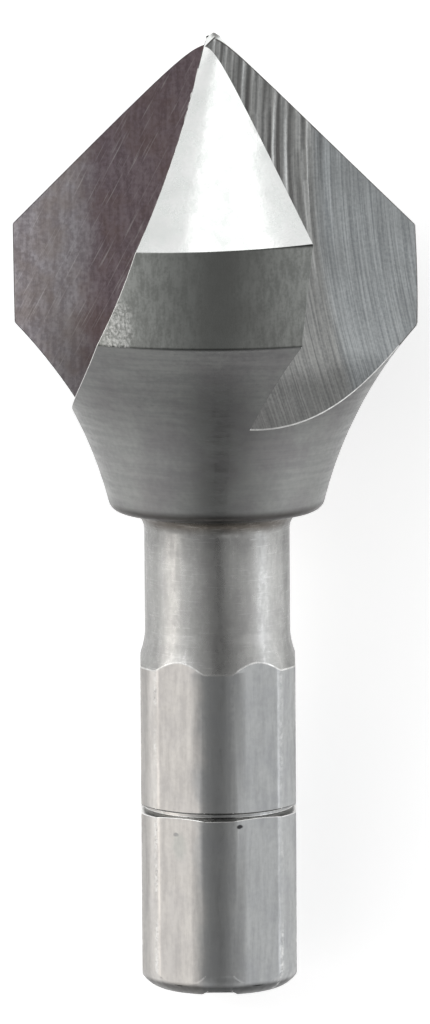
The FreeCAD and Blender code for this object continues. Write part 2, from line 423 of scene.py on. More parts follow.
@dataclass(frozen=True)
class Steel:
    """Finish of one area of the hardened tool steel.

    Colours are sRGB hex values, lengths are millimetres.
    """

    name: str
    colour: str
    shade: str
    stain: str
    roughness: float
    run: Run
    spacing: float
    length: float
    depth: float
    grain: float = 0.12
    grain_share: float = 0.25
    patch: float = 3.0
    stain_share: float = 0.3
    # Roughness in the marks' valleys and on their tops, as shares of the finish's own.
    valley_rough: float = 1.2
    top_rough: float = 0.85
    # Parts of the noise's range over which the stains, marks, grain and specks set in.
    stain_range: tuple[float, float] = (0.45, 0.65)
    mark_range: tuple[float, float] = (0.35, 0.65)
    grain_range: tuple[float, float] = (0.3, 0.7)
    speck_range: tuple[float, float] = (0.4, 0.75)
    fades: tuple[Fade, ...] = ()
    blots: tuple[Blot, ...] = ()
    scratches: tuple[Scratches, ...] = ()
    wear: CornerWear | None = None

    def make(self, frame: BitFrame) -> bpy.types.Material:
        """Build the material.

        Args:
            frame: the bit's own coordinates.

        Returns:
            The material.
        """
        material = bpy.data.materials.new(self.name)
        material.use_nodes = True
        tree = material.node_tree
        shader = tree.nodes["Principled BSDF"]
        shader.inputs["Metallic"].default_value = 1.0
        coordinates = add(tree, "ShaderNodeTexCoord")
        turned = frame.to_bit.to_3x3().normalized().to_euler()
        place = add(tree, "ShaderNodeMapping", {
            "Scale": (1 / MM,) * 3, "Rotation": turned, "Location": frame.to_bit.translation},
            {"Vector": coordinates.outputs["Object"]}).outputs["Vector"]
        lay = coordinates.outputs["UV"]
        run_place = lay if self.run is Run.LAY else place
        grain = self.noise(tree, place, self.grain)
        patches = self.noise(tree, place, self.patch, detail=3.0)
        marked = self.marks(tree, run_place, grain)
        tone = add(tree, "ShaderNodeMix", {
            "data_type": "RGBA", 6: srgb(self.shade), 7: srgb(self.colour)},
            {0: marked}).outputs[2]
        stained = add(tree, "ShaderNodeMapRange", {
            "From Min": self.stain_range[0], "From Max": self.stain_range[1],
            "To Max": self.stain_share}, {"Value": patches})
        tone = self.blend(tree, tone, stained.outputs["Result"], self.stain)
        for fade in self.fades:
            tone = self.faded(tree, tone, fade, lay if fade.lay else place, patches)
        for scratches in self.scratches:
            tone = self.scratched(tree, tone, scratches, run_place)
        if self.wear:
            tone = self.worn(tree, tone, self.wear, place)
        for blot in self.blots:
            tone = self.blotted(tree, tone, blot, place, grain)
        rough = add(tree, "ShaderNodeMapRange", {
            "To Min": self.roughness * self.valley_rough,
            "To Max": self.roughness * self.top_rough}, {"Value": marked})
        bump = add(tree, "ShaderNodeBump", {"Strength": 1.0, "Distance": self.depth * MM},
                   {"Height": marked})
        tree.links.new(tone, shader.inputs["Base Color"])
        tree.links.new(rough.outputs["Result"], shader.inputs["Roughness"])
        tree.links.new(bump.outputs["Normal"], shader.inputs["Normal"])
        return material

    def noise(self, tree: Tree, place: Socket, size: float, detail: float = 2.0) -> Socket:
        """Noise with spots of a size in millimetres."""
        return add(tree, "ShaderNodeTexNoise", {
            "Scale": 1 / size, "Detail": detail, "Roughness": 0.6},
            {"Vector": place}).outputs["Fac"]

    def blend(self, tree: Tree, tone: Socket, share: Socket, colour: str,
              mode: str = "MIX") -> Socket:
        """Blend a colour over the tone by a share."""
        return add(tree, "ShaderNodeMix", {
            "data_type": "RGBA", "blend_type": mode, 7: srgb(colour)},
            {0: share, 6: tone}).outputs[2]

    def marks(self, tree: Tree, place: Socket, grain: Socket) -> Socket:
        """Make the level of the tool marks and the grain.

        Args:
            tree: the material's tree.
            place: coordinates that the marks follow.
            grain: the fine noise.

        Returns:
            The level, from 0 in a valley to 1 on a top.
        """
        stretch = {
            Run.AROUND: (1 / self.length, 1 / self.length, 1 / self.spacing),
            Run.ALONG: (1 / self.spacing, 1 / self.spacing, 1 / self.length),
            Run.LAY: (1 / self.length, 1 / self.spacing, 1.0),
        }[self.run]
        along = add(tree, "ShaderNodeMapping", {"Scale": stretch}, {"Vector": place})
        marks = add(tree, "ShaderNodeTexNoise", {"Scale": 1.0, "Detail": 3.0, "Roughness": 0.65},
                    {"Vector": along.outputs["Vector"]})
        marked = add(tree, "ShaderNodeMapRange", {
            "From Min": self.mark_range[0], "From Max": self.mark_range[1]},
            {"Value": marks.outputs["Fac"]})
        grainy = add(tree, "ShaderNodeMapRange", {
            "From Min": self.grain_range[0], "From Max": self.grain_range[1],
            "To Min": -self.grain_share, "To Max": self.grain_share}, {"Value": grain})
        return add(tree, "ShaderNodeMath", {"operation": "ADD", "use_clamp": True},
                   {0: marked.outputs["Result"], 1: grainy.outputs["Result"]}).outputs[0]

    def faded(self, tree: Tree, tone: Socket, fade: Fade, place: Socket,
              patches: Socket) -> Socket:
        """Lay one slow change of tone over the colour.

        Args:
            tree: the material's tree.
            tone: the colour so far.
            fade: the change of tone.
            place: coordinates along which it goes.
            patches: the coarse noise that makes its border waver.

        Returns:
            The colour with the change.
        """
        parts = add(tree, "ShaderNodeSeparateXYZ", {}, {0: place})
        wavered = add(tree, "ShaderNodeMath", {"operation": "MULTIPLY_ADD", 1: 2 * fade.waver},
                      {0: patches, 2: parts.outputs[fade.axis]})
        share = add(tree, "ShaderNodeMapRange", {
            "interpolation_type": "SMOOTHSTEP", "From Min": fade.start + fade.waver,
            "From Max": fade.end + fade.waver}, {"Value": wavered.outputs[0]})
        return self.blend(tree, tone, share.outputs["Result"], fade.tone, "MULTIPLY")

    def scratched(self, tree: Tree, tone: Socket, scratches: Scratches,
                  place: Socket) -> Socket:
        """Draw light scratches over the colour.

        Args:
            tree: the material's tree.
            tone: the colour so far.
            scratches: the scratches.
            place: coordinates that the tool marks follow.

        Returns:
            The colour with the scratches.
        """
        upright = 0.0 if self.run is Run.LAY else math.radians(90)
        across = add(tree, "ShaderNodeMapping", {
            "vector_type": "TEXTURE", "Rotation": (upright, 0, math.radians(scratches.turn)),
            "Scale": (scratches.length, scratches.spacing, 1.0)}, {"Vector": place})
        lines = add(tree, "ShaderNodeTexNoise", {"Scale": 1.0, "Detail": 2.0},
                    {"Vector": across.outputs["Vector"]})
        share = add(tree, "ShaderNodeMapRange", {
            "From Min": scratches.sparse, "From Max": scratches.sparse + scratches.softness,
            "To Max": scratches.share}, {"Value": lines.outputs["Fac"]})
        return self.blend(tree, tone, share.outputs["Result"], scratches.tone)

    def worn(self, tree: Tree, tone: Socket, wear: CornerWear, place: Socket) -> Socket:
        """Draw the worn borders of the hexagon's corners over the colour.

        Args:
            tree: the material's tree.
            tone: the colour so far.
            wear: the wear.
            place: the bit's own coordinates.

        Returns:
            The colour with the wear.
        """
        parts = add(tree, "ShaderNodeSeparateXYZ", {}, {0: place})
        turn = add(tree, "ShaderNodeMath", {"operation": "ARCTAN2"},
                   {0: parts.outputs["X"], 1: parts.outputs["Y"]})
        corner = add(tree, "ShaderNodeMath", {
            "operation": "PINGPONG", 1: math.radians(wear.half_sector)}, {0: turn.outputs[0]})
        off = add(tree, "ShaderNodeMath", {"operation": "SUBTRACT", 1: math.radians(wear.turn)},
                  {0: corner.outputs[0]})
        away = add(tree, "ShaderNodeMath", {"operation": "ABSOLUTE"}, {0: off.outputs[0]})
        line = add(tree, "ShaderNodeMapRange", {
            "From Max": math.radians(wear.width), "To Min": wear.share, "To Max": 0.0},
            {"Value": away.outputs[0]})
        stretches = add(tree, "ShaderNodeMapRange", {
            "From Min": wear.stretch_start, "From Max": wear.stretch_full, "To Min": wear.least},
            {"Value": self.noise(tree, place, wear.stretch)})
        width = add(tree, "ShaderNodeMath", {"operation": "ABSOLUTE"}, {0: parts.outputs["X"]})
        outer = add(tree, "ShaderNodeMapRange", {
            "From Min": wear.front_end, "From Max": wear.outer_start, "To Min": wear.front_share},
            {"Value": width.outputs[0]})
        broken = add(tree, "ShaderNodeMath", {"operation": "MULTIPLY"},
                     {0: line.outputs["Result"], 1: stretches.outputs["Result"]})
        near = add(tree, "ShaderNodeMath", {"operation": "MULTIPLY"},
                   {0: broken.outputs[0], 1: outer.outputs["Result"]}).outputs[0]
        for spots in wear.spots:
            level = add(tree, "ShaderNodeMapRange", {
                "From Min": spots.start, "From Max": spots.full},
                {"Value": self.noise(tree, place, spots.size)})
            share = add(tree, "ShaderNodeMath", {"operation": "MULTIPLY"},
                        {0: near, 1: level.outputs["Result"]})
            tone = self.blend(tree, tone, share.outputs[0], spots.colour)
        return tone

    def blotted(self, tree: Tree, tone: Socket, blot: Blot, place: Socket,
                grain: Socket) -> Socket:
        """Lay one irregular spot over the colour.

        Args:
            tree: the material's tree.
            tone: the colour so far.
            blot: the spot.
            place: the bit's own coordinates.
            grain: the fine noise that speckles it.

        Returns:
            The colour with the spot.
        """
        scaled = add(tree, "ShaderNodeMapping", {
            "vector_type": "TEXTURE", "Location": blot.place, "Scale": blot.reach},
            {"Vector": place})
        distance = add(tree, "ShaderNodeVectorMath", {"operation": "LENGTH"},
                       {0: scaled.outputs["Vector"]})
        ragged = add(tree, "ShaderNodeMath", {"operation": "ADD"}, {
            0: self.noise(tree, place, 2 * min(blot.reach)), 1: distance.outputs["Value"]})
        share = add(tree, "ShaderNodeMapRange", {
            "From Min": blot.solid, "From Max": blot.ended, "To Min": blot.share, "To Max": 0.0},
            {"Value": ragged.outputs[0]}).outputs["Result"]
        if blot.speckled:
            specks = add(tree, "ShaderNodeMapRange", {
                "From Min": self.speck_range[0], "From Max": self.speck_range[1]},
                {"Value": grain})
            share = add(tree, "ShaderNodeMath", {"operation": "MULTIPLY"},
                        {0: share, 1: specks.outputs["Result"]}).outputs[0]
        return self.blend(tree, tone, share, blot.tone)


SIZES = BitSizes()

FINISHES = {
    # Fine-ground cone lands: the brightest faces, almost without marks.
    Area.CONE_LAND: Steel(
        "fine_ground_land", "#e7e8e7", "#dcdfdd", "#c5cac7", 0.24, Run.ALONG, 0.5, 6.0, 0.002,
        grain_share=0.15, stain_share=0.25,
        blots=(Blot((0.05, 0.2, 39.15), (0.22, 0.6, 0.3), "#7c7c7a"),)),
    # Ground cylinder: dull grey and speckled, darkest along its two ends.
    Area.STRAIGHT_LAND: Steel(
        "ground_cylinder", "#979996", "#7e807d", "#706f6c", 0.36, Run.ALONG, 0.25, 0.8, 0.0008,
        grain_share=0.35,
        fades=(
            Fade("Z", SIZES.land_top - 0.16, SIZES.land_top - 0.04, "#707070", waver=0.03),
            Fade("Z", SIZES.land_bottom + 0.14, SIZES.land_bottom + 0.04, "#909090", waver=0.03)),
        blots=(Blot((-4.0, -7.2, 28.1), (0.8, 0.8, 1.5), "#f6f6f4", 0.5, speckled=True),)),
    # Rake faces: ground by the wheel's side, then stained brown and violet by heat.
    Area.RAKE: Steel(
        "heat_stained_rake", "#d8d1d5", "#b9b0b5", "#bcaca4", 0.4, Run.LAY, 0.25, 1.5, 0.001,
        grain=0.16, grain_share=0.5, patch=1.4, stain_share=0.5,
        fades=(Fade("Y", -6.0, -4.4, "#cabdc1", lay=True, waver=0.5),),
        scratches=(Scratches(27.0, 0.07, 2.5, 0.6, "#fffafa", 0.4),)),
    # Heel walls: blue-grey lines of the wheel's rim, drawn as coarse as they need to show.
    # The ridges near the rake face are cut into the shape.
    Area.HEEL: Steel(
        "rim_ground_heel", "#bdc1c2", "#94989a", "#8a8c8c", 0.36, Run.LAY, 0.09, 5.0, 0.002,
        fades=(
            Fade("Y", 4.8, 4.2, "#f0ece8", lay=True, waver=0.12),
            Fade("X", -13.4, -14.8, "#cdcdcd", lay=True))),
    # Turned flare of the head: smooth mottled grey, darker towards the lands and the rim.
    Area.HEAD: Steel(
        "turned_head", "#8a8b89", "#828382", "#6e686d", 0.33, Run.AROUND, 0.2, 3.0, 0.0003,
        grain=0.2, grain_share=0.4, patch=2.0,
        fades=(
            Fade("Z", 22.0, 25.5, "#d2d2d2", waver=0.3),
            Fade("Z", 20.3, 19.95, "#8c8886", waver=0.05))),
    # Turned neck: brighter and blotched, with light scratches.  Painted shade darkens it towards
    # the head, in a brownish band under the head and on its sides, and painted highlights light
    # its shoulders.
    Area.NECK: Steel(
        "turned_neck", "#b9b9b7", "#acacaa", "#9a9899", 0.31, Run.ALONG, 0.35, 1.6, 0.0006,
        grain=0.15, grain_share=0.4, patch=0.8, stain_share=0.35,
        scratches=(Scratches(0.0, 0.06, 0.8, 0.6, "#ffffff", 0.14),),
        blots=(
            # Painted highlights on the two shoulders.
            Blot((-1.6, -2.6, 14.75), (1.0, 1.0, 0.3), "#f4f4f2", 0.13),
            Blot((1.6, -2.6, 14.75), (1.2, 1.0, 0.3), "#f4f4f2", 0.13)),
        fades=(
            # Painted shade: darker towards the head, a brownish band under it, and darker sides.
            Fade("Z", 17.5, 19.0, "#e2e2e2", waver=0.3),
            Fade("Z", 19.0, 19.5, "#a09890", waver=0.1),
            Fade("X", -2.2, -2.5, "#e4e4e4", waver=0.1),
            Fade("X", 2.5, 2.9, "#d4d4d4", waver=0.1))),
    # Drawn hexagonal bar: satin, with worn corners, a pit, a spot and a dark cut end.  Painted
    # shade darkens and cools its right side, and darkens its outer sides.
    Area.SHANK: Steel(
        "drawn_hexagon", "#cac7c3", "#bbb8b5", "#aaa8aa", 0.34, Run.ALONG, 0.3, 2.0, 0.001,
        grain=0.2, grain_share=0.3, patch=1.5, stain_share=0.25,
        fades=(
            # Painted shade: the right side darker and cooler.
            Fade("X", -1.15, -0.45, "#dce1e5", waver=0.5),
            Fade("Z", 0.6, 0.36, "#747474", waver=0.05),
            # Painted shade: both outer sides darker.
            Fade("X", -2.7, -2.95, "#dcdcdc", waver=0.1),
            Fade("X", 3.0, 3.3, "#e2e2e2", waver=0.1)),
        blots=(
            Blot((0.85, -3.19, 7.1), (0.16, 0.3, 0.1), "#3c3c3e"),
            Blot((-1.75, -2.66, 6.7), (0.12, 0.3, 0.1), "#848486", 0.7),
            Blot((-1.6, -2.7, 6.2), (0.4, 0.5, 0.7), "#a8ada9", 0.4)),
        wear=CornerWear(SIZES.corner_turn, 2.6, 0.55, (
            Spots("#ececea", 0.22, 0.42, 0.62), Spots("#747476", 0.15, 0.56, 0.7)))),
    # Turned ring groove: its upper wall painted dark as the shadow under the upper lip, its lower
    # wall light, and painted shade where it crosses the dark front of the shank.
    Area.RING: Steel(
        "turned_groove", "#f2f2f0", "#d8d8d6", "#b0b0b0", 0.3, Run.AROUND, 0.2, 2.0, 0.001,
        fades=(
            # Painted shadow under the groove's upper lip.
            Fade("Z", SIZES.ring_height + 0.02, SIZES.ring_height + 0.1, "#767676", waver=0.03),),
        # Painted shade where the groove crosses the dark front of the shank.
        blots=(Blot((0.15, -3.1, 7.5), (0.75, 0.8, 0.13), "#848484"),)),
    # Broken edges, in a light grey that paints a highlight along each edge line.
    Area.EDGE: Steel(
        "highlit_edge", "#dededc", "#c0c0be", "#a0a09e", 0.3, Run.ALONG, 0.3, 0.3, 0.002),
    # Dark edges: those beside the flutes of the two outer teeth, painted dark as shade along the
    # outline, and those between the head and the rake faces.
    Area.DARK_EDGE: Steel(
        "dark_edge", "#6c6a68", "#5a5856", "#4a4846", 0.4, Run.ALONG, 0.3, 0.3, 0.001),
}


@dataclass(frozen=True)
class Ridges:
    """Grinding ridges of the heel walls, as a Geometry Nodes tree, in millimetres.

    The lay map's Z tells the walls apart, and the seed moves the noise along it.
    """

    pitch: float = 0.32
    length: float = 9.0
    depth: float = 0.05
    seed: int = 7
    seed_step: float = 13.7
    wall_step: float = 5.0
    # The ridges grow from the rake face over root, are full up to full, and end over fade.
    root: float = 0.3
    full: float = 3.9
    fade: float = 1.4
    # Towards the shank they go down to the least share, over rise and from drop below the land.
    drop: float = 4.0
    rise: float = 6.0
    least: float = 0.08

    def share(self, above_land: float, away: float) -> float:
        """Find the share of the full depth at a place on a heel wall.

        Args:
            above_land: its height above the straight lands' upper end.
            away: its distance from the rake face.

        Returns:
            The share, most near the point and the rake face.
        """
        high = clamp((above_land + self.drop) / self.rise)
        near = 1.0 - clamp((away - self.full) / self.fade)
        return clamp(away / self.root) * (self.least + (1.0 - self.least) * high * near)

    def make_tree(self, material: bpy.types.Material) -> Tree:
        """Build the tree.

        Args:
            material: the finish of the heel walls.

        Returns:
            A tree that moves the points of the heel walls in or out along their normals.
        """
        tree = bpy.data.node_groups.new("heel_ridges", "GeometryNodeTree")
        tree.interface.new_socket("Geometry", in_out="INPUT", socket_type="NodeSocketGeometry")
        for name in ("Pitch", "Length", "Depth", "Seed"):
            tree.interface.new_socket(name, in_out="INPUT", socket_type="NodeSocketFloat")
        tree.interface.new_socket("Geometry", in_out="OUTPUT", socket_type="NodeSocketGeometry")
        given = add(tree, "NodeGroupInput")
        lay = add(tree, "GeometryNodeInputNamedAttribute", {
            "data_type": "FLOAT_VECTOR", "Name": "lay"})
        share = add(tree, "GeometryNodeInputNamedAttribute", {
            "data_type": "FLOAT", "Name": "ridge_share"})
        parts = add(tree, "ShaderNodeSeparateXYZ", {}, {0: lay.outputs[0]})
        along = add(tree, "ShaderNodeMath", {"operation": "DIVIDE"},
                    {0: parts.outputs["X"], 1: given.outputs["Length"]})
        across = add(tree, "ShaderNodeMath", {"operation": "DIVIDE"},
                     {0: parts.outputs["Y"], 1: given.outputs["Pitch"]})
        seeded = add(tree, "ShaderNodeMath", {"operation": "MULTIPLY", 1: self.seed_step},
                     {0: given.outputs["Seed"]})
        wall = add(tree, "ShaderNodeMath", {"operation": "ADD"},
                   {0: parts.outputs["Z"], 1: seeded.outputs[0]})
        place = add(tree, "ShaderNodeCombineXYZ", {}, {
            "X": along.outputs[0], "Y": across.outputs[0], "Z": wall.outputs[0]})
        noise = add(tree, "ShaderNodeTexNoise", {"Scale": 1.0, "Detail": 2.0, "Roughness": 0.6},
                    {"Vector": place.outputs[0]})
        height = add(tree, "ShaderNodeMapRange", {
            "From Min": 0.3, "From Max": 0.7, "To Min": -1.0, "To Max": 1.0},
            {"Value": noise.outputs[0]})
        scaled = add(tree, "ShaderNodeMath", {"operation": "MULTIPLY"},
                     {0: height.outputs[0], 1: given.outputs["Depth"]})
        faded = add(tree, "ShaderNodeMath", {"operation": "MULTIPLY"},
                    {0: scaled.outputs[0], 1: share.outputs[0]})
        normal = add(tree, "GeometryNodeInputNormal")
        offset = add(tree, "ShaderNodeVectorMath", {"operation": "SCALE"},
                     {0: normal.outputs[0], "Scale": faded.outputs[0]})
        moved = add(tree, "GeometryNodeSetPosition", {},
                    {"Geometry": given.outputs["Geometry"], "Offset": offset.outputs[0]})
        real = add(tree, "GeometryNodeRealizeInstances", {}, {0: moved.outputs[0]})
        walls = add(tree, "GeometryNodeInputNamedAttribute", {
            "data_type": "BOOLEAN", "Name": "heel_wall"})
        dressed = add(tree, "GeometryNodeSetMaterial", {"Material": material},
                      {"Geometry": real.outputs[0], "Selection": walls.outputs[0]})
        add(tree, "NodeGroupOutput", {}, {0: dressed.outputs[0]})
        return tree

    def cut(self, piece: bpy.types.Object, material: bpy.types.Material) -> bpy.types.Mesh:
        """Cut the ridges into a piece.

        Args:
            piece: the piece, in metres.
            material: the finish of the heel walls.

        Returns:
            The ridged mesh.
        """
        tree = self.make_tree(material)
        modifier = piece.modifiers.new("ridges", "NODES")
        modifier.node_group = tree
        values = {"Pitch": self.pitch, "Length": self.length, "Depth": self.depth * MM,
                  "Seed": self.seed}
        for item in tree.interface.items_tree:
            if item.in_out == "INPUT" and item.name in values:
                modifier[item.identifier] = float(values[item.name])
        bpy.context.view_layer.update()
        depsgraph = bpy.context.evaluated_depsgraph_get()
        ridged = bpy.data.meshes.new_from_object(
            piece.evaluated_get(depsgraph), preserve_all_data_layers=True, depsgraph=depsgraph)
        piece.modifiers.remove(modifier)
        return ridged


class Bit:
    """The countersink bit as one dressed piece."""

    def __init__(self, node: bpy.types.Object, frame: BitFrame, sizes: BitSizes) -> None:
        """Keep what the piece is made from.

        Args:
            node: the solid in the frame.
            frame: the bit's own coordinates.
            sizes: the bit's sizes.
        """
        self.node = node
        self.frame = frame
        self.sizes = sizes
        self.wheels = make_wheels(sizes)
        self.ridges = Ridges()
        self.slice_step = 0.07

    def area_of(self, centre: Vector, normal: Vector) -> Area:
        """Tell which area a place on the solid belongs to.

        Args:
            centre: the place.
            normal: the surface's direction there.

        Returns:
            The area.
        """
        on_flat = any(normal.dot(flat) > FLAT_BEND for flat in self.sizes.flat_directions())
        if on_flat and centre.xy.length < self.sizes.shank_diameter / 2:
            return Area.SHANK
        if centre.z < self.sizes.shank_length:
            beside = abs(centre.z - self.sizes.ring_height) < self.sizes.ring_reach
            return Area.RING if beside and abs(normal.z) > TILTED else Area.SHANK
        if centre.z < self.sizes.rim_height - ON_FACE:
            return Area.NECK
        for wheel in self.wheels:
            if abs(wheel.away(centre)) < ON_FACE and normal.dot(wheel.normal) > RAKE_BEND:
                return Area.RAKE
        if any(wheel.on_rim(centre, normal) for wheel in self.wheels):
            return Area.HEEL
        if normal.z > CONE_TILT:
            return Area.CONE_LAND
        if centre.z > self.sizes.land_bottom:
            return Area.STRAIGHT_LAND
        return Area.HEAD

    def exact_normal(self, face: bmesh.types.BMFace) -> Vector:
        """Mean of the exact normals on a face's corners."""
        return sum((loop[self.exact] for loop in face.loops), Vector()).normalized()

    def welded_copy(self) -> bmesh.types.BMesh:
        """Copy the solid's mesh in the bit's coordinates, with its exact normals on the corners.

        Returns:
            The closed mesh, with the area of each face as a layer.
        """
        source = self.node.data
        mesh = bmesh.new()
        mesh.from_mesh(source)
        self.exact = mesh.loops.layers.float_vector.new("exact")
        turned = self.frame.turned.transposed()
        corner = 0
        for face in mesh.faces:
            for loop in face.loops:
                loop[self.exact] = turned @ source.corner_normals[corner].vector
                corner += 1
        mesh.transform(self.frame.to_bit)
        bmesh.ops.remove_doubles(mesh, verts=mesh.verts, dist=WELD)
        mesh.normal_update()
        area = mesh.faces.layers.int.new("area")
        self.exact = mesh.loops.layers.float_vector["exact"]
        for face in mesh.faces:
            face[area] = self.area_of(face.calc_center_median(), self.exact_normal(face)).value
            face.smooth = True
        return mesh

    def sharp_edges(self, mesh: bmesh.types.BMesh) -> list[bmesh.types.BMEdge]:
        """List the edges at which the exact normals break.

        Args:
            mesh: the welded mesh.

        Returns:
            Its sharp edges.
        """
        edges = []
        for edge in mesh.edges:
            if len(edge.link_faces) != 2:
                continue
            bend = 0.0
            for vert in edge.verts:
                first, second = (
                    next(loop[self.exact] for loop in face.loops if loop.vert is vert)
                    for face in edge.link_faces)
                bend = max(bend, first.angle(second, 0.0))
            if bend > math.radians(self.sizes.sharp_bend):
                edges.append(edge)
        return edges

    def edge_area(self, beside: set[Area], place: Vector) -> Area:
        """Tell how the chamfer of an edge looks.

        Args:
            beside: the areas beside it.
            place: its place.

        Returns:
            The light edge, the dark edge, or one of the areas beside it.
        """
        edges = (Area.EDGE, Area.DARK_EDGE)
        # Edges beside the flutes that lie back from the front get the dark edge: painted shade.
        if beside & {Area.HEEL, Area.RAKE} and place.y > self.sizes.shaded_from:
            return Area.DARK_EDGE
        if {Area.HEAD, Area.RAKE} <= beside:
            return Area.DARK_EDGE
        if Area.HEEL in beside or {Area.RAKE, Area.CONE_LAND} <= beside:
            return Area.EDGE
        if {Area.SHANK, Area.NECK} <= beside:
            return Area.EDGE
        return min(beside - {Area.RAKE}, key=lambda kind: (kind in edges, -kind.value))

    def break_edges(self, mesh: bmesh.types.BMesh) -> None:
        """Give every sharp edge its narrow chamfer.

        Args:
            mesh: the welded mesh, changed in place.
        """
        area = mesh.faces.layers.int["area"]
        chamfer = mesh.faces.layers.int.new("chamfer")
        edges = self.sharp_edges(mesh)
        made = bmesh.ops.bevel(
            mesh, geom=edges, offset=self.sizes.edge_width, offset_type="OFFSET", segments=1,
            profile=0.5, affect="EDGES", clamp_overlap=False)
        for face in made["faces"]:
            face[area] = Area.EDGE.value
            face[chamfer] = 1
            face.smooth = True
        for face in made["faces"]:
            beside = {Area(other[area]) for edge in face.edges for other in edge.link_faces}
            face[area] = self.edge_area(beside, face.calc_center_median()).value
        log.info("broke %d edges", len(edges))

    def slice_faces(self, mesh: bmesh.types.BMesh, faces: list[bmesh.types.BMFace],
                    point: Vector, normal: Vector) -> None:
        """Cut some faces of a mesh along a plane.

        Args:
            mesh: the mesh, changed in place.
            faces: the faces.
            point: a point of the plane.
            normal: the plane's normal.
        """
        # A dictionary drops the doubles and keeps the faces' order.
        edges = dict.fromkeys(edge for face in faces for edge in face.edges)
        verts = dict.fromkeys(vert for face in faces for vert in face.verts)
        bmesh.ops.bisect_plane(
            mesh, geom=[*verts, *edges, *faces], dist=CUT_WELD, plane_co=point, plane_no=normal)

    def slice_heels(self, mesh: bmesh.types.BMesh) -> None:
        """Slice each heel wall along the wheel's marks, finely enough to carry the ridges.

        Args:
            mesh: the mesh with its broken edges, changed in place.
        """
        area = mesh.faces.layers.int["area"]
        flute = mesh.faces.layers.int.new("flute")
        self.exact = mesh.loops.layers.float_vector["exact"]
        for face in mesh.faces:
            if face[area] == Area.HEEL.value:
                centre = face.calc_center_median()
                face[flute] = 1 + next(number for number, wheel in enumerate(self.wheels)
                                       if wheel.on_rim(centre, self.exact_normal(face)))
        for number, wheel in enumerate(self.wheels, start=1):
            faces = [face for face in mesh.faces if face[flute] == number]
            reach = max(wheel.away(vert.co) for face in faces for vert in face.verts)
            away = self.slice_step
            while away < reach:
                crossed = [face for face in mesh.faces if face[flute] == number
                           and min(wheel.away(vert.co) for vert in face.verts) < away
                           < max(wheel.away(vert.co) for vert in face.verts)]
                self.slice_faces(mesh, crossed, wheel.point + wheel.normal * away, wheel.normal)
                away += self.slice_step

    def slice_corners(self, mesh: bmesh.types.BMesh) -> None:
        """Slice each flat beside its two borders, so that its corners can shade as rounded.

        Args:
            mesh: the mesh, changed in place.
        """
        area = mesh.faces.layers.int["area"]
        sizes = self.sizes
        for flat in sizes.flat_directions():
            across = UP.cross(flat)
            middle = flat * sizes.across_flats / 2
            for side in (-1, 1):
                faces = [face for face in mesh.faces if face[area] == Area.SHANK.value
                         and face.normal.dot(flat) > FLAT_BEND]
                border = middle + across * side * sizes.flat_half
                at_front = abs(border.x) < sizes.across_flats / 4 and border.y < 0
                width = sizes.front_round if at_front else sizes.corner_round
                self.slice_faces(
                    mesh, faces, middle + across * side * (sizes.flat_half - width), across)
        self.exact = mesh.loops.layers.float_vector["exact"]

    def rounded(self, place: Vector, normal: Vector) -> Vector:
        """Turn the normal beside a border of the hexagon to that of the round corner.

        Args:
            place: the place.
            normal: the surface's direction there.

        Returns:
            The direction away from the axis on a border, and the given one elsewhere.
        """
        if place.z > self.sizes.shank_length or abs(normal.z) > TILTED:
            return normal
        flat = max(self.sizes.flat_directions(), key=place.dot)
        if abs(abs(place.dot(UP.cross(flat))) - self.sizes.flat_half) > ON_BORDER:
            return normal
        return Vector((place.x, place.y, 0)).normalized()

    def map_lay(self, mesh: bmesh.types.BMesh) -> None:
        """Write the marks' directions and the share of the ridges' depth on the mesh.

        Args:
            mesh: the sliced mesh, changed in place.
        """
        area = mesh.faces.layers.int["area"]
        flute = mesh.faces.layers.int["flute"]
        lay = mesh.verts.layers.float_vector.new("lay")
        share = mesh.verts.layers.float.new("ridge_share")
        walls = mesh.faces.layers.bool.new("heel_wall")
        uv = mesh.loops.layers.uv.new("lay_map")
        for face in mesh.faces:
            if face[area] == Area.HEEL.value:
                face[walls] = True
                wheel = self.wheels[face[flute] - 1]
                for loop in face.loops:
                    place = wheel.lay(loop.vert.co)
                    place.z = self.ridges.wall_step * face[flute]
                    above_land = loop.vert.co.z - self.sizes.land_top
                    loop.vert[lay] = place
                    loop.vert[share] = self.ridges.share(above_land, place.y)
                    loop[uv].uv = place.xy
            elif face[area] == Area.RAKE.value:
                centre = face.calc_center_median()
                wheel = min(self.wheels, key=lambda item: abs(item.away(centre)))
                for loop in face.loops:
                    loop[uv].uv = wheel.side_lay(loop.vert.co).xy

    def plain_normals(self, mesh: bmesh.types.BMesh) -> None:
        """Write the exact normal of each vertex beside the heel walls, and none on them.

        Args:
            mesh: the sliced mesh, changed in place.
        """
        area = mesh.faces.layers.int["area"]
        chamfer = mesh.faces.layers.int["chamfer"]
        self.exact = mesh.loops.layers.float_vector["exact"]
        plain = mesh.verts.layers.float_vector.new("plain_normal")
        for vert in mesh.verts:
            kinds = {loop.face[area] for loop in vert.link_loops}
            if Area.HEEL.value in kinds:
                continue
            kept = [loop[self.exact] for loop in vert.link_loops if not loop.face[chamfer]]
            if kept:
                vert[plain] = self.rounded(vert.co, sum(kept, Vector()).normalized())

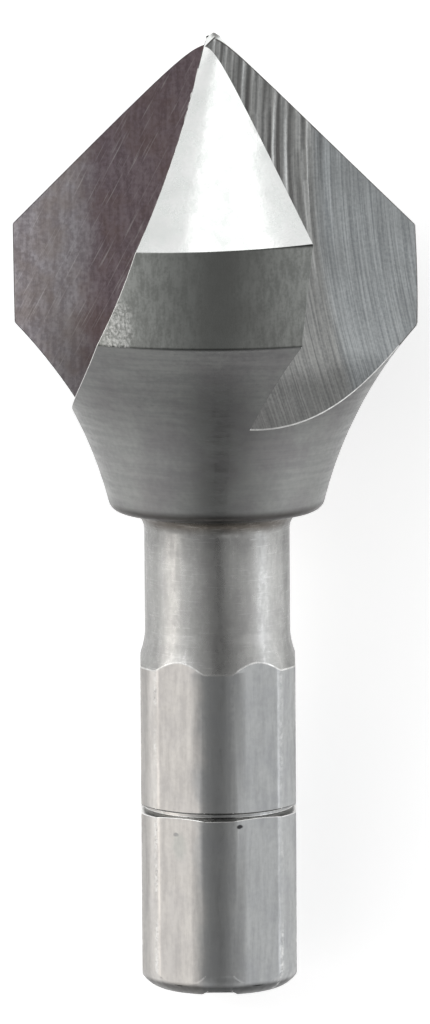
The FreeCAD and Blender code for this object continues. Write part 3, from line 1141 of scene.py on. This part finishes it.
    def set_normals(self, mesh: bpy.types.Mesh) -> None:
        """Give the finished mesh the exact normals, and its own faces' on the heel walls.

        Args:
            mesh: the ridged mesh, changed in place.
        """
        count = len(mesh.vertices)
        plain = np.empty(count * 3, np.float32)
        mesh.attributes["plain_normal"].data.foreach_get("vector", plain)
        plain = plain.reshape(-1, 3) @ np.array(self.frame.turned).T
        wall_sum = np.zeros((count, 3))
        face_sum = np.zeros((count, 3))
        for face in mesh.polygons:
            weighted = np.array(face.normal) * face.area
            for vert in face.vertices:
                face_sum[vert] += weighted
                if face.material_index == Area.HEEL.value:
                    wall_sum[vert] += weighted
        on_wall = np.linalg.norm(wall_sum, axis=1, keepdims=True) > 0
        own = np.where(on_wall, wall_sum, face_sum)
        own /= np.linalg.norm(own, axis=1, keepdims=True) + 1e-30
        bare = np.linalg.norm(plain, axis=1, keepdims=True) < 0.5
        mesh.normals_split_custom_set_from_vertices(np.where(bare, own, plain).tolist())
        mesh.attributes.remove(mesh.attributes["plain_normal"])

    def build(self) -> bpy.types.Object:
        """Make the dressed piece.

        Returns:
            The piece, in place in the row's frame.
        """
        mesh = self.welded_copy()
        self.break_edges(mesh)
        self.slice_heels(mesh)
        self.slice_corners(mesh)
        self.map_lay(mesh)
        self.plain_normals(mesh)
        area = mesh.faces.layers.int["area"]
        for face in mesh.faces:
            face.material_index = face[area]
        mesh.transform(self.frame.to_row)
        data = bpy.data.meshes.new("sliced_bit")
        mesh.to_mesh(data)
        mesh.free()
        materials = [FINISHES[kind].make(self.frame) for kind in Area]
        for material in materials:
            data.materials.append(material)
        piece = bpy.data.objects.new(PIECE, data)
        bpy.context.scene.collection.objects.link(piece)
        ridged = self.ridges.cut(piece, materials[Area.HEEL.value])
        self.set_normals(ridged)
        ridged.name = PIECE
        piece.data = ridged
        log.info("%s: %d faces, %d materials", PIECE, len(ridged.polygons), len(materials))
        return piece


@dataclass(frozen=True)
class Lamp:
    """Soft box that faces the bit.

    The bearing is its direction on the floor in degrees from +Y towards +X, the rise its
    direction above the floor, the size its width and height in metres, and a brightness of
    1 shows as white.
    """

    name: str
    bearing: float
    rise: float
    size: tuple[float, float]
    bright: float
    colour: str = "#ffffff"
    distance: float = 0.35

    def hang(self) -> bpy.types.Object:
        """Add the lamp to the scene.

        Returns:
            The lamp.
        """
        turn, rise = math.radians(self.bearing), math.radians(self.rise)
        flat = math.cos(rise)
        place = Vector((math.sin(turn) * flat, math.cos(turn) * flat, math.sin(rise)))
        data = bpy.data.lights.new(self.name, "AREA")
        data.shape = "RECTANGLE"
        data.size, data.size_y = self.size
        data.energy = 4 * self.size[0] * self.size[1] * self.bright
        data.color = srgb(self.colour)[:3]
        lamp = bpy.data.objects.new(self.name, data)
        lamp.location = place * self.distance
        lamp.rotation_mode = "QUATERNION"
        lamp.rotation_quaternion = place.to_track_quat("Z", "Y")
        lamp.visible_camera = False
        bpy.context.scene.collection.objects.link(lamp)
        return lamp


LAMPS = (
    Lamp("left_box", -90, 18, (0.4, 0.16), 0.65, "#fff8f0"),
    Lamp("right_box", 90, 8, (0.4, 0.10), 0.8, "#f6faff"),
    Lamp("back_box", 3, 18, (0.16, 0.16), 0.8),
    Lamp("fill_box", 144, 48, (0.16, 0.16), 0.35),
    Lamp("key_box", -60, 32, (0.2, 0.2), 0.8),
)


@dataclass(frozen=True)
class View:
    """Camera's place to the bit: lengths in metres, turns in degrees, pixels of the picture.

    The distance is measured along the line of sight to the point of the axis that lies
    focus_drop below the apex.  The lean tips the axis towards the camera, and the roll
    turns it in the picture.
    """

    picture: tuple[int, int] = (430, 1024)
    focal_pixels: float = 10271.0
    distance: float = 0.420
    focus_drop: float = 0.018
    apex_pixel: tuple[float, float] = (213.62, 20.89)
    lean: float = 8.74
    roll: float = 0.37
    sensor_width: float = 24.0
    clip_start: float = 0.01


@dataclass(frozen=True)
class Room:
    """Levels of the room's light by the turn about the bit's axis, in degrees.

    It is darkest in front of the bit, a little off to the right, and bright to the sides.
    """

    middle: float = 4.0
    dark_end: float = 4.0
    bright_start: float = 60.0
    dark: float = 0.13
    bright: float = 0.92
    floor_size: float = 3.0
    floor_colour: str = "#fafafa"
    floor_glow: float = 0.55


class Studio:
    """Floor, lamps, world and camera."""

    def __init__(self, frame: BitFrame, sizes: BitSizes) -> None:
        """Keep what the studio is set up around.

        Args:
            frame: the bit's own coordinates.
            sizes: the bit's sizes.
        """
        self.frame = frame
        self.sizes = sizes
        self.view = View()
        self.room = Room()

    def camera(self) -> bpy.types.Object:
        """Place the camera at the photograph's viewing angle to the bit.

        Returns:
            The camera.
        """
        view = self.view
        roll, lean = math.radians(view.roll), math.radians(view.lean)
        side = Vector((math.cos(roll), math.sin(roll), 0))
        axis = Vector((-math.sin(roll) * math.cos(lean), math.cos(roll) * math.cos(lean),
                       math.sin(lean)))
        seen = Matrix((side, side.cross(axis), axis)).transposed()
        real = Matrix((self.frame.side, self.frame.front, self.frame.axis)).transposed()
        turned = real @ seen.transposed()
        depth = view.focus_drop * math.sin(lean)
        scale = (view.distance - depth) / view.focal_pixels
        apex_seen = Vector(((view.apex_pixel[0] - view.picture[0] / 2) * scale,
                            (view.picture[1] / 2 - view.apex_pixel[1]) * scale, depth))
        apex = self.frame.to_row @ Vector((0, 0, self.sizes.apex_height))
        data = bpy.data.cameras.new("camera")
        data.sensor_width = view.sensor_width
        data.lens = data.sensor_width * view.focal_pixels / view.picture[1]
        data.clip_start = view.clip_start
        camera = bpy.data.objects.new("camera", data)
        place = apex + turned @ (Vector((0, 0, view.distance)) - apex_seen)
        camera.matrix_world = Matrix.Translation(place) @ turned.to_4x4()
        bpy.context.scene.collection.objects.link(camera)
        bpy.context.scene.camera = camera
        return camera

    def floor(self) -> bpy.types.Object:
        """Lay the pale floor.

        Returns:
            The floor.
        """
        bpy.ops.mesh.primitive_plane_add(size=self.room.floor_size)
        floor = bpy.context.object
        floor.name = "floor"
        material = bpy.data.materials.new("pale_floor")
        material.use_nodes = True
        tree = material.node_tree
        shader = tree.nodes["Principled BSDF"]
        shader.inputs["Base Color"].default_value = srgb(self.room.floor_colour)
        shader.inputs["Roughness"].default_value = 0.8
        path = add(tree, "ShaderNodeLightPath")
        seen = add(tree, "ShaderNodeMath", {"operation": "MAXIMUM"}, {
            0: path.outputs["Is Camera Ray"], 1: path.outputs["Is Glossy Ray"]})
        shown = add(tree, "ShaderNodeMath", {"operation": "MAXIMUM"}, {
            0: seen.outputs[0], 1: path.outputs["Is Transmission Ray"]})
        glow = add(tree, "ShaderNodeMath", {"operation": "MULTIPLY", 1: self.room.floor_glow},
                   {0: shown.outputs[0]})
        shader.inputs["Emission Color"].default_value = (1, 1, 1, 1)
        tree.links.new(glow.outputs[0], shader.inputs["Emission Strength"])
        floor.data.materials.append(material)
        return floor

    def world(self) -> None:
        """Light the room: dark in front of the bit, bright to its left and right."""
        room = self.room
        world = bpy.data.worlds.new("studio_room")
        bpy.context.scene.world = world
        world.use_nodes = True
        tree = world.node_tree
        direction = add(tree, "ShaderNodeTexCoord").outputs["Generated"]
        sideways = add(tree, "ShaderNodeVectorMath", {
            "operation": "DOT_PRODUCT", 1: self.frame.side}, {0: direction})
        forwards = add(tree, "ShaderNodeVectorMath", {
            "operation": "DOT_PRODUCT", 1: self.frame.front}, {0: direction})
        about = add(tree, "ShaderNodeMath", {"operation": "ARCTAN2"},
                    {0: sideways.outputs["Value"], 1: forwards.outputs["Value"]})
        off = add(tree, "ShaderNodeMath", {
            "operation": "SUBTRACT", 1: math.radians(room.middle)}, {0: about.outputs[0]})
        turn = add(tree, "ShaderNodeMath", {"operation": "ABSOLUTE"}, {0: off.outputs[0]})
        level = add(tree, "ShaderNodeMapRange", {
            "From Min": math.radians(room.dark_end), "From Max": math.radians(room.bright_start),
            "To Min": room.dark, "To Max": room.bright}, {"Value": turn.outputs[0]})
        background = tree.nodes["Background"]
        tree.links.new(level.outputs["Result"], background.inputs["Strength"])
        background.inputs["Color"].default_value = (1, 1, 1, 1)

    def build(self) -> None:
        """Set up the whole studio."""
        bpy.context.scene.view_settings.view_transform = "Standard"
        self.world()
        self.floor()
        for lamp in LAMPS:
            lamp.hang()
        self.camera()
        log.info("studio: %d lamps", len(LAMPS))


def main() -> None:
    """Build the scene piece by piece."""
    logging.basicConfig(level=logging.INFO, format="%(name)s: %(message)s")
    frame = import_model()
    bit_frame = BitFrame(frame["record"], SIZES)
    piece = Bit(frame["nodes"][NODE], bit_frame, SIZES).build()
    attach(piece, "root")
    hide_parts(NODE)
    Studio(bit_frame, SIZES).build()


if __name__ == "__main__":
    main()
